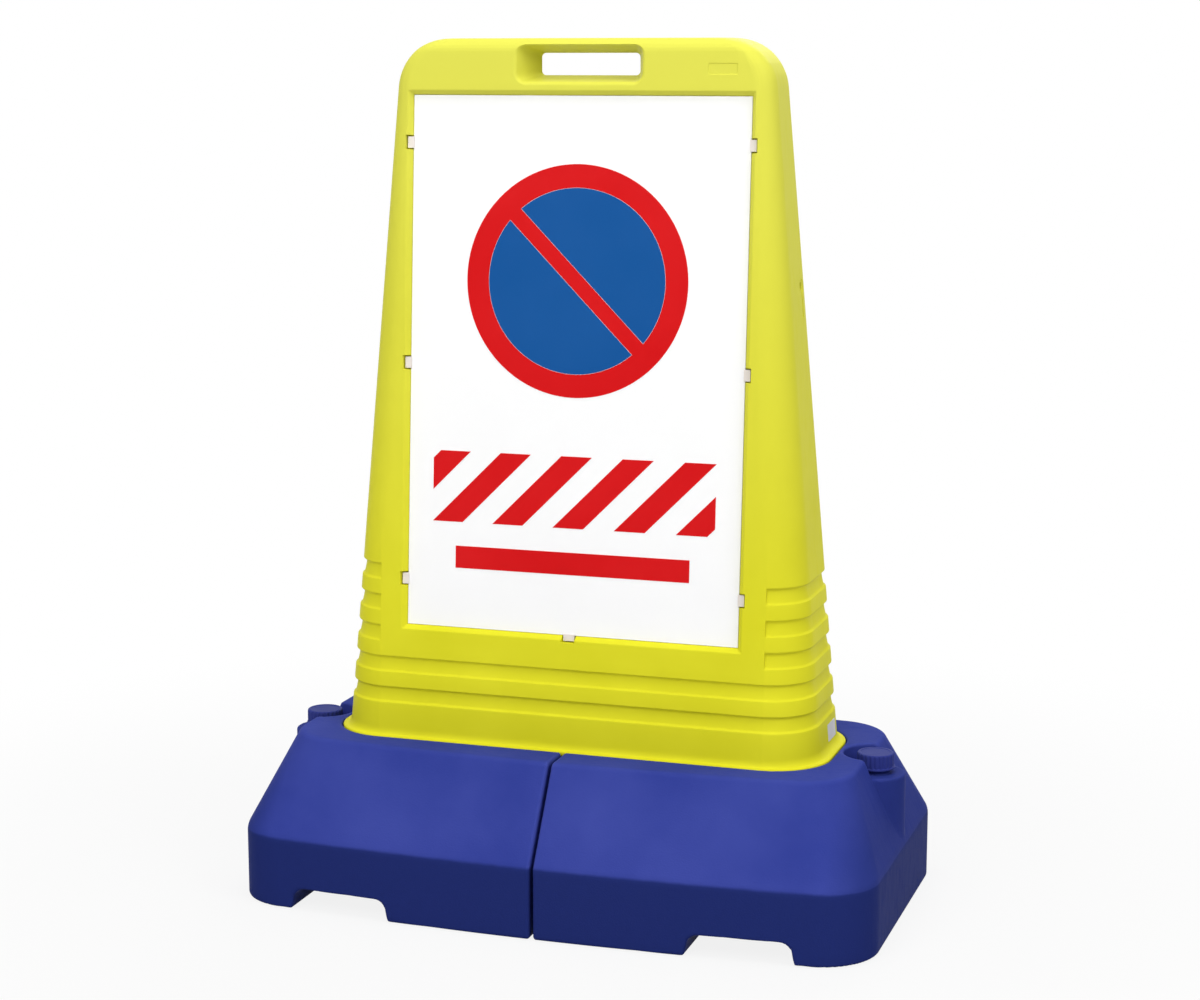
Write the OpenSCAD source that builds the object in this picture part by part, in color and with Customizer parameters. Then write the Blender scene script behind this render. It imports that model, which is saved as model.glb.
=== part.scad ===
// Freestanding sign: a hollow moulded tower with a sign plate on each broad face,
// held between two water tanks that slide together around its foot.
// The origin is on the floor under the middle, +X along the width, the front faces -Y.

/* [Tower] */
// Height of the tower's top above the floor
tower_h = 1000; // [900:10:1100]
// Width of the tower at its top
tower_top_w = 442; // [440:2:460]
// Width of the tower at its lip
tower_foot_w = 580; // [570:1:584]
// Depth of the tower at its top
tower_top_d = 84; // [76:2:96]
// Depth of the tower at its lip
tower_foot_d = 193; // [180:1:198]
// Radius of the tower's upright edges at its top
tower_top_r = 20; // [16:1:24]
// Radius of the tower's upright edges at its lip
tower_foot_r = 60; // [50:1:66]
// Radius of the two top corners seen from the front
top_corner_r = 54; // [40:1:64]
// Radius of the top's front and back edges
top_edge_r = 15; // [8:1:20]
// Wall of the blow-moulded tower
tower_wall = 4; // [3:0.5:5]

/* [Hand slot] */
// Width of the slot at its narrowest
slot_w = 118; // [100:1:130]
// Height of the slot at its narrowest
slot_h = 25; // [22:1:28]
// Distance from the top of the tower to the middle of the slot
slot_drop = 29; // [27:1:34]
// Width of the slot's mouth on each face
slot_mouth_w = 150; // [136:1:160]
// Height of the slot's mouth on each face
slot_mouth_h = 41; // [36:1:44]

/* [Grooves] */
// Number of grooves in the lower tower
groove_count = 5; // [4:1:5]
// Number of the lowest grooves that run all round
full_groove_count = 2; // [1:1:2]
// Height of a groove
groove_h = 18.5; // [14:0.5:21]
// Distance from one groove to the next
groove_pitch = 36.5; // [34:0.5:38]
// Depth of a groove
groove_depth = 4; // [2:0.5:5]
// Distance from the lip's top up to the lowest groove
groove_rise = 38.5; // [30:0.5:42]
// Distance from the side of the plate to the inner ends of the short grooves
groove_margin = 33; // [26:0.5:36]

/* [Sign plates] */
// Distance from the side of the tower's top to the sign plate
stile_w = 20; // [19:0.5:30]
// Height of a sign plate, measured along the leaning face
plate_h = 616; // [580:1:618]
// Thickness of a sign plate
plate_t = 3; // [2:0.5:4]
// Distance from the lip's top up to the lower edge of the plate
plate_rise = 133; // [130:1:140]
// Distance from the tower's face back to the plate's face
plate_setback = 6.5; // [5:0.5:8]
// Width of the sloping edge around the window
window_bevel_w = 5; // [3:0.5:6]
// Clearance around a plate
plate_gap = 0.4; // [0.3:0.1:0.8]

/* [Films] */
// Thickness of the coloured films
film_t = 0.3; // [0.2:0.1:0.5]
// Gap between one film and the next
film_gap = 0.4; // [0.2:0.1:1]
// Outer diameter of the ring
ring_d = 265; // [220:1:290]
// Width of the ring's band
ring_band_w = 26.5; // [18:0.5:34]
// Width of the ring's slanting bar
slash_w = 18; // [12:0.5:26]
// Distance from the plate's sides to the striped band
stripe_band_margin = 30; // [12:1:60]
// Height of the striped band
stripe_band_h = 83; // [60:1:96]
// Distance from the plate's lower edge to the striped band
stripe_band_rise = 124; // [112:1:140]
// Number of whole stripes in the striped band
stripe_count = 4; // [3:1:6]
// Distance from the plate's sides to the plain bar
bar_margin = 59; // [30:1:90]
// Height of the plain bar
bar_h = 26; // [16:1:34]
// Distance from the plate's lower edge to the plain bar
bar_rise = 70; // [50:1:80]

/* [Clips] */
// Height of a clip's head along the window edge
clip_w = 13; // [10:0.5:14]
// Length of a clip's head across the window edge
clip_l = 7.5; // [6.5:0.5:8]
// Thickness of a clip's head
clip_t = 1.8; // [1.2:0.2:2.4]
// Distance that a clip reaches over the plate
clip_overlap = 1; // [0.8:0.1:1.5]
// Room around a clip's head in its notch
clip_room = 1.5; // [1:0.1:2]
// Diameter of a clip's shank
clip_shank_d = 4; // [3:0.2:4.4]
// Clearance around a clip's shank and under its head
clip_gap = 0.4; // [0.3:0.1:0.8]
// Distance from the plate's lower and upper edges to the nearest side clips
clip_rise = 54; // [40:1:70]
// Number of clips on each side of a plate
side_clip_count = 3; // [2:1:3]

/* [Side hole] */
// Diameter of the hole in the right side wall
side_hole_d = 9; // [6:0.5:11]
// Height of the side hole above the floor
side_hole_z = 723; // [690:1:760]
// Distance of the side hole behind the middle
side_hole_y = 20; // [0:1:24]
// Diameter of the flat seat around the side hole
side_seat_d = 17; // [14:0.5:20]
// Depth of the seat and of the channel under it
side_seat_depth = 1; // [0.5:0.1:1.5]
// Length of the channel below the side hole
side_channel_l = 30; // [20:1:40]
// Width of the channel below the side hole
side_channel_w = 3.5; // [2:0.5:6]

/* [Lip and foot] */
// How far the lip stands out at the tower's sides
lip_side = 10; // [8:0.5:13]
// How far the lip stands out at the tower's front and back
lip_front = 7.5; // [5.5:0.5:11]
// Radius of the lip's corners
lip_r = 68; // [60:1:74]
// Thickness of the lip
lip_t = 6.5; // [5:0.5:8]
// Height of the lip's top above the tank's top
lip_proud = 0.8; // [0.4:0.2:1.4]
// How far the foot stands in from the tower's lower edge, all round
foot_step = 8; // [4:0.5:14]
// Radius of the foot's corners
foot_r = 50; // [36:1:60]
// Height of the foot below the lip
foot_h = 60; // [50:1:66]
// Height of the groove in the foot that the tank's ridge enters
rail_h = 16; // [12:1:20]
// Depth of the groove in the foot
rail_depth = 7; // [5:0.5:9]
// Clearance between the lip or foot and the tanks, sideways
slide_gap = 1.2; // [0.8:0.1:1.6]
// Clearance between the lip or foot and the tanks, up and down
seat_gap = 0.3; // [0.2:0.1:0.4]

/* [Label and badge] */
// Width of the blank label
label_w = 36; // [24:1:40]
// Height of the blank label
label_h = 20; // [12:1:24]
// Thickness of the blank label
label_t = 0.3; // [0.2:0.1:0.5]
// Thickness of the glue under the label
label_gap = 0.05; // [0.03:0.01:0.1]
// Distance from the lip's top to the label
label_rise = 9; // [8:0.5:12]
// Width of the plain sunk badge near the top
badge_w = 33; // [20:1:40]
// Height of the plain sunk badge
badge_h = 12; // [8:0.5:14]
// Depth of the plain sunk badge
badge_depth = 0.8; // [0.4:0.1:1.2]
// Distance from the side of the tower's top to the middle of the badge
badge_inset = 53; // [48:1:90]
// Distance from the top of the tower down to the badge
badge_drop = 34; // [32:1:38]

/* [Tanks] */
// Depth of the tanks at the floor, in the middle
base_d = 436; // [410:2:460]
// How far the flat top reaches past the lip's front and back, in the middle
deck_margin = 47; // [38:1:56]
// How far the front and back bulge towards the middle
base_bow = 13; // [6:0.5:18]
// Radius of the tanks' corners at the floor
base_r = 68; // [56:1:80]
// Height of the upright lower faces
crease_h = 83; // [70:1:95]
// Height of the tanks' flat top
tank_h = 188; // [180:1:196]
// How far each end of the flat top stands in from the base's end
deck_end_step = 43; // [36:1:50]
// Radius of the flat tops' corners
deck_r = 62; // [52:1:70]
// Wall of the blow-moulded tanks
tank_wall = 3.5; // [3:0.5:4]
// Gap between the two tanks
tank_gap = 4; // [3:0.5:6]
// Setback of the tank's bottom edge
bottom_inset = 4; // [2:0.5:6]
// Rise of the rounding along the bottom edge
bottom_rise = 5; // [3:0.5:8]

/* [Channels] */
// Distance between the channels' inner walls under the two tanks
channel_inner_w = 364; // [350:2:380]
// Width of the foot between a channel and the base's end
end_foot_w = 85; // [79:1:93]
// Height of the channels
channel_h = 25; // [18:1:30]
// Extra width of a channel at the floor, on each side
channel_flare = 5; // [2:0.5:8]

/* [Filler] */
// Distance from the lip's end to the cap's axis
cap_room = 43; // [42:0.5:48]
// Distance from the base's end to the cap's axis
cap_inset = 38; // [36:1:42]
// Distance of the right cap's axis behind the middle; the left one sits as far in front
cap_shift = 9; // [0:1:12]
// Radius of the round pocket in the tank's top around a cap
pocket_r = 37; // [35:0.5:40]
// Depth of the pocket
pocket_depth = 22; // [20:0.5:24]
// Radius of the upright boss that carries the neck
boss_r = 35; // [33:0.5:36]
// Outer diameter of the neck
neck_d = 32; // [28:0.5:34]
// Bore of the neck
neck_bore_d = 26; // [20:0.5:27]
// Diameter of the cap over its ribs
cap_d = 43; // [42:0.5:46]
// Diameter of the cap's lower flange
cap_flange_d = 45; // [44:0.5:47]
// Thickness of the cap's lower flange
cap_flange_t = 2.3; // [1.5:0.1:3]
// Height of the cap
cap_h = 18; // [16:0.5:19]
// Height of the cap's top above the tank's top
cap_proud = 0.5; // [0.5:0.5:3]
// Thickness of the cap's top
cap_top_t = 2.7; // [2:0.1:3]
// Number of ribs on the cap
cap_rib_count = 24; // [16:2:30]
// Depth of the grooves between the ribs
cap_rib_depth = 0.8; // [0.5:0.1:1.2]
// Pitch of the thread
thread_pitch = 5; // [4:0.5:6]
// Height of a thread ridge
thread_h = 1.3; // [1:0.1:1.4]
// Radial clearance between a thread's crest and the other piece's wall
thread_gap = 0.5; // [0.4:0.1:0.6]
// Thickness of the gasket
gasket_t = 1.5; // [1:0.1:2]
// Bore of the gasket
gasket_bore_d = 20; // [16:0.5:24]
// Clearance above and below the gasket
gasket_gap = 0.3; // [0.2:0.1:0.4]

/* [Hidden] */

yellow = [0.84, 0.83, 0.19];
blue = [0.13, 0.16, 0.5];
white = [0.96, 0.96, 0.96];
sign_red = [0.86, 0.07, 0.09];
sign_blue = [0.09, 0.35, 0.63];
clip_white = [0.9, 0.87, 0.85];
rubber = [0.1, 0.1, 0.11];

// Overrun of every cut past the face that it opens
over = 2;
corner_steps = 7;
bow_steps = 6;
bend_steps = 4;
round_fn = 64;
// Shares of the sloping face and of the deck's setback taken by the rounded edges
edge_share = 0.13;
deck_edge_share = 0.2;
// Place of the ring's centre, as a share of the way from the striped band to the plate's upper edge
ring_share = 0.489;
// Half the width of a thread ridge at its root and at its crest, as shares of the pitch
thread_root_share = 0.23;
thread_crest_share = 0.11;
// Shares of the pitch from the cap's foot up to the start of the neck's and the cap's ridge
neck_thread_share = 0.35;
cap_thread_share = 0.85;
// Turns of the cap's ridge, and the turn left free above the neck's ridge
cap_turns = 1.1;
free_turn = 0.35;
// Share of a groove's half height at which its rounded section is cut off by the tower's face
groove_end_share = 0.98;

// Derived heights and leans
lip_top = tank_h + lip_proud;
lip_z = lip_top - lip_t;
foot_z = lip_z - foot_h;
body_h = tower_h - lip_top;
side_lean = atan((tower_foot_w - tower_top_w) / 2 / body_h);
face_lean = atan((tower_foot_d - tower_top_d) / 2 / body_h);
recess_depth = plate_setback + plate_t + plate_gap;
plate_z = lip_top + plate_rise;
slot_z = tower_h - slot_drop;
plate_w = tower_top_w - 2 * stile_w;
groove_gap_w = plate_w + 2 * groove_margin;
lip_w = tower_foot_w + 2 * lip_side;
lip_d = tower_foot_d + 2 * lip_front;
base_w = lip_w + 2 * (cap_room + cap_inset);
deck_w = base_w - 2 * deck_end_step;
deck_d = lip_d + 2 * deck_margin;
channel_w = (base_w - channel_inner_w) / 2 - end_foot_w;
stripe_band_w = plate_w - 2 * stripe_band_margin;
stripe_w = (stripe_band_w - stripe_band_h) / (2 * stripe_count - 1);
bar_w = plate_w - 2 * bar_margin;
stripe_top = stripe_band_rise + stripe_band_h;
ring_rise = stripe_top + ring_share * (plate_h - stripe_top);
clip_pitch = (plate_h - 2 * clip_rise) / (side_clip_count - 1);
foot_w = tower_foot_w - 2 * foot_step;
foot_d = tower_foot_d - 2 * foot_step;
badge_x = tower_top_w / 2 - badge_inset;
clip_body_x = clip_gap + plate_gap;
shank_x = (clip_l - clip_overlap + clip_body_x) / 2;
thin_z = lip_top + groove_rise + (groove_count - 1) * groove_pitch + groove_h + tower_wall;

// Half width, edge radius and half depth of the tapering tower at a height
function tower_x(z) = (tower_foot_w + (tower_top_w - tower_foot_w) * (z - lip_top) / body_h) / 2;
function tower_r(z) = tower_foot_r + (tower_top_r - tower_foot_r) * (z - lip_top) / body_h;
function tower_y(z) = (tower_foot_d + (tower_top_d - tower_foot_d) * (z - lip_top) / body_h) / 2;

// Points of an arc, an upright rounded rectangle and half of the bowed base
function arc(cx, cy, r, from, to) =
    [for (i = [0:corner_steps]) let (a = from + (to - from) * i / corner_steps)
        [cx + r * cos(a), cy + r * sin(a)]];
function rounded(hx, hy, r) = concat(
    arc(hx - r, hy - r, r, 0, 90),
    arc(r - hx, hy - r, r, 90, 180),
    arc(r - hx, r - hy, r, 180, 270),
    arc(hx - r, r - hy, r, 270, 360));
function bow_line(x0, hx, hy, r) =
    [for (i = [0:bow_steps - 1]) let (x = x0 + (hx - r - x0) * i / bow_steps)
        [x, base_bow * pow(x / (hx - r), 2) - hy]];
function half_base(x0, hx, hy, r) = concat(
    bow_line(x0, hx, hy, r),
    arc(hx - r, r + base_bow - hy, r, 270, 360),
    arc(hx - r, hy - base_bow - r, r, 0, 90),
    [for (i = [bow_steps - 1:-1:0]) let (p = bow_line(x0, hx, hy, r)[i]) [p[0], -p[1]]]);

// A solid skinned through level rings of equal point counts, from the lowest up
module loft(rings, heights) {
    n = len(rings[0]);
    m = len(rings);
    points = [for (i = [0:m - 1]) for (p = rings[i]) [p[0], p[1], heights[i]]];
    sides = [for (i = [0:m - 2]) for (j = [0:n - 1]) let (k = (j + 1) % n)
        each [[i * n + j, (i + 1) * n + k, i * n + k], [i * n + j, (i + 1) * n + j, (i + 1) * n + k]]];
    floor_face = [for (j = [0:n - 1]) j];
    top_face = [for (j = [n - 1:-1:0]) (m - 1) * n + j];
    polyhedron(points, concat([floor_face], sides, [top_face]));
}

// The frame of the leaning front face: X right, Y up along the face, Z out of it,
// with its origin on the face at height z
module on_face(z) {
    translate([0, -tower_y(z), z]) rotate([90 - face_lean, 0, 0]) children();
}
module turned() { rotate([0, 0, 180]) children(); }

// The tapering tower body, inset evenly, between two heights
module tower_body(inset, z0, z1) {
    corner_z = tower_h - top_corner_r;
    edge_z = tower_h - top_edge_r;
    top_steps = 6;
    heights = concat([z0], [for (i = [0:top_steps])
        let (a = 90 * i / top_steps) corner_z + (top_corner_r - inset) * sin(a)]);
    function shrink_x(z) = z <= corner_z ? 0
        : top_corner_r - inset - sqrt(max(0, pow(top_corner_r - inset, 2) - pow(z - corner_z, 2)));
    function shrink_y(z) = z <= edge_z ? 0
        : top_edge_r - sqrt(max(0, pow(top_edge_r, 2) - pow(min(z - edge_z, top_edge_r), 2)));
    loft([for (z = heights) rounded(
        tower_x(z) - inset - shrink_x(z), tower_y(z) - inset - shrink_y(z),
        tower_r(z) - inset)], heights);
}

// The hand slot, widening from the middle to a mouth on each face, grown by a wall
module hand_slot(grow) {
    mouth_y = tower_y(slot_z) + over;
    for (side = [0, 1]) mirror([0, side, 0])
        rotate([90, 0, 0])
            loft([rounded(slot_w / 2 + grow, slot_h / 2 + grow, slot_h / 5 + grow),
                rounded(slot_mouth_w / 2 + grow, slot_mouth_h / 2 + grow, slot_h / 5 + grow)],
                [-over / 8, mouth_y]);
}

// One rounded groove: all round, or only past the inner ends of the short grooves
module groove(index) {
    z = lip_top + groove_rise + index * groove_pitch;
    reach = tower_foot_w;
    steps = 6;
    heights = [for (i = [0:steps]) z + groove_h * i / steps];
    difference() {
        translate([-reach, -reach, z]) cube([2 * reach, 2 * reach, groove_h]);
        loft([for (i = [0:steps]) let (cut = groove_depth * groove_shape(2 * i / steps - 1), h = heights[i])
            rounded(tower_x(h) - cut, tower_y(h) - cut, tower_r(h) - cut)],
            [for (i = [0:steps]) heights[i] + (i == 0 ? -over : i == steps ? over : 0)]);
        if (index >= full_groove_count)
            translate([-groove_gap_w / 2, -reach, z - over])
                cube([groove_gap_w, 2 * reach, groove_h + 2 * over]);
    }
}
// Depth of the groove across its height, as a share of its full depth
function groove_shape(t) = sqrt(1 - pow(abs(t) * groove_end_share, 4));

// The window cut on the front face, with its sloping edge and clip notches
module window_cut() {
    half_w = plate_w / 2 + plate_gap;
    on_face(plate_z) {
        translate([-half_w, -plate_gap, -recess_depth])
            cube([2 * half_w, plate_h + 2 * plate_gap, recess_depth + over]);
        translate([0, plate_h / 2, 0])
            loft([rounded(half_w - over / 8, plate_h / 2 + plate_gap - over / 8, over),
                rounded(half_w + window_bevel_w, plate_h / 2 + window_bevel_w + plate_gap, over),
                rounded(half_w + window_bevel_w, plate_h / 2 + window_bevel_w + plate_gap, over)],
                [-plate_setback, 0, over]);
        clip_places() clip_notch();
    }
}
module window_back_wall() {
    half_w = plate_w / 2 + plate_gap + tower_wall;
    notch_w = half_w + clip_l;
    on_face(plate_z)
        translate([-notch_w, -clip_l - tower_wall - plate_gap, -recess_depth - tower_wall])
            cube([2 * notch_w, plate_h + clip_l + 2 * (tower_wall + plate_gap),
                recess_depth + 3 * tower_wall]);
}

// Places of the clips on a plate's two sides and at its foot, X pointing off the plate
module side_clip_places() {
    for (side = [0, 1]) mirror([side, 0, 0])
        for (i = [0:side_clip_count - 1])
            translate([plate_w / 2, clip_rise + i * clip_pitch, 0]) children();
}
module foot_clip_place() { rotate([0, 0, -90]) children(); }
module clip_places() {
    side_clip_places() children();
    foot_clip_place() children();
}
module clip_notch() {
    notch_w = clip_w + 2 * clip_room;
    reach = clip_l - clip_overlap + clip_room;
    translate([0, -notch_w / 2, -recess_depth]) cube([reach, notch_w, recess_depth + over]);
    translate([shank_x, 0, -recess_depth - tower_wall - over])
        cylinder(d = clip_shank_d + 2 * clip_gap, h = tower_wall + 2 * over, $fn = round_fn);
}
module clip() {
    head_z = plate_gap - plate_setback;
    translate([-clip_overlap, -clip_w / 2, head_z]) cube([clip_l, clip_w, clip_t]);
    translate([clip_body_x, -clip_w / 2, clip_gap - recess_depth])
        cube([clip_l - clip_overlap - clip_body_x, clip_w, recess_depth + head_z - clip_gap]);
    translate([shank_x, 0, -recess_depth - tower_wall - 2 * clip_gap])
        cylinder(d = clip_shank_d, h = tower_wall + recess_depth + head_z, $fn = round_fn);
    translate([shank_x, 0, -recess_depth - tower_wall - clip_gap - clip_shank_d])
        cylinder(d1 = clip_shank_d / 2, d2 = clip_shank_d + 3 * clip_gap, h = clip_shank_d, $fn = round_fn);
}

// The hole, its seat and the channel below it in the right side wall
module side_hole_cut() {
    x = tower_x(side_hole_z);
    translate([x, side_hole_y, side_hole_z]) rotate([0, 90 - side_lean, 0]) {
        translate([0, 0, -tower_wall - over])
            cylinder(d = side_hole_d, h = tower_wall + 2 * over, $fn = round_fn);
        translate([0, 0, -side_seat_depth])
            cylinder(d = side_seat_d, h = side_seat_depth + over, $fn = round_fn);
        translate([side_seat_d / 2 - over / 2, -side_channel_w / 2, -side_seat_depth])
            cube([side_channel_l, side_channel_w, side_seat_depth + over]);
    }
}

module tower_foot(inset) {
    translate([0, 0, foot_z + inset]) linear_extrude(foot_h + over)
        polygon(rounded(foot_w / 2 - inset, foot_d / 2 - inset, foot_r - inset));
}
module rail_cut() {
    for (side = [0, 1]) mirror([0, side, 0])
        translate([-foot_w, -foot_d / 2 - over, foot_z + (foot_h - rail_h) / 2])
            cube([2 * foot_w, rail_depth + over, rail_h]);
}
module tower() {
    foot_inset = tower_wall + rail_depth;
    color(yellow) difference() {
        union() {
            tower_body(0, lip_top - over, tower_h);
            translate([0, 0, lip_z]) linear_extrude(lip_t)
                polygon(rounded(lip_w / 2, lip_d / 2, lip_r));
            tower_foot(0);
        }
        for (i = [0:groove_count - 1]) groove(i);
        rail_cut();
        window_cut();
        turned() window_cut();
        hand_slot_at_height(0);
        side_hole_cut();
        on_face(tower_h - badge_drop) translate([badge_x - badge_w / 2, -badge_h / 2, -badge_depth])
            cube([badge_w, badge_h, badge_depth + over]);
        difference() {
            union() {
                tower_body(tower_wall + groove_depth, lip_top, tower_h);
                tower_body(tower_wall, thin_z, tower_h);
                tower_foot(foot_inset);
            }
            window_back_wall();
            turned() window_back_wall();
            hand_slot_at_height(tower_wall);
        }
    }
}
module hand_slot_at_height(grow) { translate([0, 0, slot_z]) hand_slot(grow); }

// Plates and films, in the frame of the front face
module plate() {
    color(white) on_face(plate_z) translate([-plate_w / 2, 0, -plate_setback - plate_t])
        cube([plate_w, plate_h, plate_t]);
}
module film_place(rise) {
    on_face(plate_z) translate([0, rise, -plate_setback]) linear_extrude(film_t) children();
}
module slash(grow) {
    width = slash_w + 2 * grow;
    rotate(-45) translate([-ring_d / 2, -width / 2]) square([ring_d, width]);
}
module ring_film() {
    color(sign_red) film_place(ring_rise) {
        difference() {
            circle(d = ring_d, $fn = round_fn * 2);
            circle(d = ring_d - 2 * ring_band_w, $fn = round_fn * 2);
        }
        intersection() {
            circle(d = ring_d - ring_band_w, $fn = round_fn * 2);
            slash(0);
        }
    }
}
module disc_film() {
    color(sign_blue) film_place(ring_rise) difference() {
        circle(d = ring_d - 2 * (ring_band_w + film_gap), $fn = round_fn * 2);
        slash(film_gap);
    }
}
// The whole stripes fill the band from corner to corner, and cut ones fill its two other corners
module stripe_film() {
    spare_count = ceil(stripe_band_h / stripe_w / 2);
    color(sign_red) film_place(stripe_band_rise) intersection() {
        translate([-stripe_band_w / 2, 0]) square([stripe_band_w, stripe_band_h]);
        for (i = [-spare_count:stripe_count - 1 + spare_count])
            translate([2 * i * stripe_w - stripe_band_w / 2, 0])
                polygon([[0, 0], [stripe_w, 0], [stripe_w + stripe_band_h, stripe_band_h],
                    [stripe_band_h, stripe_band_h]]);
    }
}
module bar_film() {
    color(sign_red) film_place(bar_rise) translate([-bar_w / 2, 0]) square([bar_w, bar_h]);
}
module side_clips() {
    color(clip_white) on_face(plate_z) side_clip_places() clip();
}
module foot_clip() {
    color(clip_white) on_face(plate_z) foot_clip_place() clip();
}
module side_label() {
    z = lip_top + label_rise;
    color(white) translate([tower_x(z) + label_gap, tower_y(z) - tower_foot_r - label_w, z])
        rotate([0, -side_lean, 0]) cube([label_t, label_w, label_h]);
}

// The outside of one tank and its hollow, inset by a wall. The profile runs from the floor
// (share 0 of the way in to the deck's outline) over two rounded edges to the deck (share 1)
module tank_body(inset) {
    x0 = tank_gap / 2 + inset;
    low = half_base(x0, base_w / 2 - inset, base_d / 2 - inset, base_r - inset);
    deck = half_base(x0, deck_w / 2 - inset, deck_d / 2 - inset, deck_r - inset);
    bottom = half_base(x0, base_w / 2 - bottom_inset - inset, base_d / 2 - bottom_inset - inset,
        base_r - inset);
    crease = [0, crease_h];
    brow = [1, tank_h - inset];
    below = [0, crease_h - edge_share * (tank_h - crease_h)];
    above = crease + edge_share * (brow - crease);
    under = brow - edge_share * (brow - crease);
    inner = [1 + deck_edge_share, tank_h - inset];
    profile = concat(bend(below, crease, above), bend(under, brow, inner));
    loft(concat([bottom, low], [for (p = profile) low + p[0] * (deck - low)]),
        concat([inset, bottom_rise + inset], [for (p = profile) p[1]]));
}
// Points of a soft bend from one point to another, tangent to the lines to the corner
function bend(from, corner, to) =
    [for (i = [0:bend_steps]) let (t = i / bend_steps)
        pow(1 - t, 2) * from + 2 * t * (1 - t) * corner + pow(t, 2) * to];
// The stepped pocket for the tower's lip and foot, grown by a wall
module tower_pocket(grow) {
    room = slide_gap + grow;
    translate([0, 0, lip_z - seat_gap - grow]) linear_extrude(tank_h)
        polygon(rounded(lip_w / 2 + room, lip_d / 2 + room, lip_r + room));
    translate([0, 0, foot_z - seat_gap - grow]) linear_extrude(tank_h)
        polygon(rounded(foot_w / 2 + room, foot_d / 2 + room, foot_r + room));
}
// An upright cylinder on the right cap's axis
module filler_post(r, z0, h) {
    translate([cap_x, cap_shift, z0]) cylinder(r = r, h = h, $fn = round_fn);
}
// The channel under a tank from front to back, grown by a wall
module channel(grow) {
    low_x = channel_inner_w / 2 - channel_flare - grow;
    top_x = channel_inner_w / 2 - grow;
    reach = channel_w + 2 * grow;
    rotate([90, 0, 0]) translate([0, 0, -base_d]) linear_extrude(2 * base_d)
        polygon([[low_x, -over], [low_x, 0], [top_x, channel_h + grow], [top_x + reach, channel_h + grow],
            [top_x + reach + channel_flare, 0], [top_x + reach + channel_flare, -over]]);
}
module ridge() {
    ridge_h = rail_h - 2 * seat_gap;
    reach = rail_depth - seat_gap;
    x0 = tank_gap / 2;
    for (side = [0, 1]) mirror([0, side, 0])
        translate([x0, foot_d / 2 + slide_gap - reach, foot_z + (foot_h - ridge_h) / 2])
            cube([foot_w / 2 - foot_r - x0, reach + tank_wall / 2, ridge_h]);
}
// A helical ridge on a cylinder of the given radius, pointing outwards (1) or inwards (-1)
module thread_ridge(r, turns, z0, way) {
    steps = 20;
    fade_steps = 5;
    n = floor(turns * steps);
    root = thread_pitch * thread_root_share;
    crest = thread_pitch * thread_crest_share;
    sink = thread_h / 2;
    function ring(i) = let (a = 360 * i / steps, z = z0 + thread_pitch * i / steps,
        grow = min(1, (i + 1) / fade_steps, (n - i + 1) / fade_steps), tip = r + way * thread_h * grow)
        [for (p = [[r - way * sink, -root], [tip, -crest], [tip, crest], [r - way * sink, root]])
            [p[0] * cos(a), p[0] * sin(a), z + p[1]]];
    points = [for (i = [0:n]) each ring(i)];
    m = len(ring(0));
    quads = [for (i = [0:n - 1]) for (j = [0:m - 1]) let (k = (j + 1) % m, low = m * i, high = low + m)
        each [[low + j, low + k, high + k], [low + j, high + k, high + j]]];
    first_end = [for (j = [m - 1:-1:0]) j];
    last_end = [for (j = [0:m - 1]) m * n + j];
    faces = concat(quads, [first_end, last_end]);
    polyhedron(points, way > 0 ? faces : [for (f = faces) [for (i = [len(f) - 1:-1:0]) f[i]]]);
}

cap_x = base_w / 2 - cap_inset;
pocket_z = tank_h - pocket_depth;
cap_top = tank_h + cap_proud;
cap_foot = cap_top - cap_h;
gasket_z = cap_top - cap_top_t - gasket_gap - gasket_t;
neck_top = gasket_z - gasket_gap;
cap_bore_d = neck_d + 2 * (thread_h + thread_gap);
thread_z = cap_foot + thread_pitch * neck_thread_share;
neck_turns = (neck_top - thread_z) / thread_pitch - free_turn;

module right_tank() {
    color(blue) difference() {
        union() {
            difference() {
                union() {
                    tank_body(0);
                    filler_post(boss_r, crease_h, pocket_z - crease_h);
                }
                tower_pocket(0);
                filler_post(pocket_r, pocket_z, pocket_depth + over);
                channel(0);
                difference() {
                    union() {
                        tank_body(tank_wall);
                        filler_post(boss_r - tank_wall, crease_h, pocket_z - crease_h - tank_wall);
                    }
                    tower_pocket(tank_wall);
                    channel(tank_wall);
                    filler_post(pocket_r + tank_wall, pocket_z - tank_wall, pocket_depth + tank_wall);
                }
            }
            ridge();
            filler_post(neck_d / 2, pocket_z - tank_wall, neck_top - pocket_z + tank_wall);
            translate([cap_x, cap_shift, 0]) thread_ridge(neck_d / 2, neck_turns, thread_z, 1);
        }
        filler_post(neck_bore_d / 2, pocket_z - tank_wall - over, pocket_depth + tank_wall + 2 * over);
    }
}
module fluted(r, depth, count) {
    steps = 4;
    polygon([for (i = [0:count * steps - 1]) let (a = 360 * i / steps / count,
        reach = (i % steps < steps / 2) ? r : r - 1.5 * depth) [reach * cos(a), reach * sin(a)]]);
}
module right_cap() {
    color(blue) translate([cap_x, cap_shift, cap_foot]) {
        difference() {
            union() {
                cylinder(d = cap_flange_d, h = cap_flange_t, $fn = round_fn);
                linear_extrude(cap_h - cap_rib_depth) fluted(cap_d / 2, cap_rib_depth, cap_rib_count);
                cylinder(d = cap_d - 2 * cap_rib_depth, h = cap_h, $fn = round_fn);
            }
            translate([0, 0, -over]) cylinder(d = cap_bore_d, h = cap_h - cap_top_t + over, $fn = round_fn);
        }
        thread_ridge(cap_bore_d / 2, cap_turns, thread_pitch * cap_thread_share, -1);
    }
}
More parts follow.
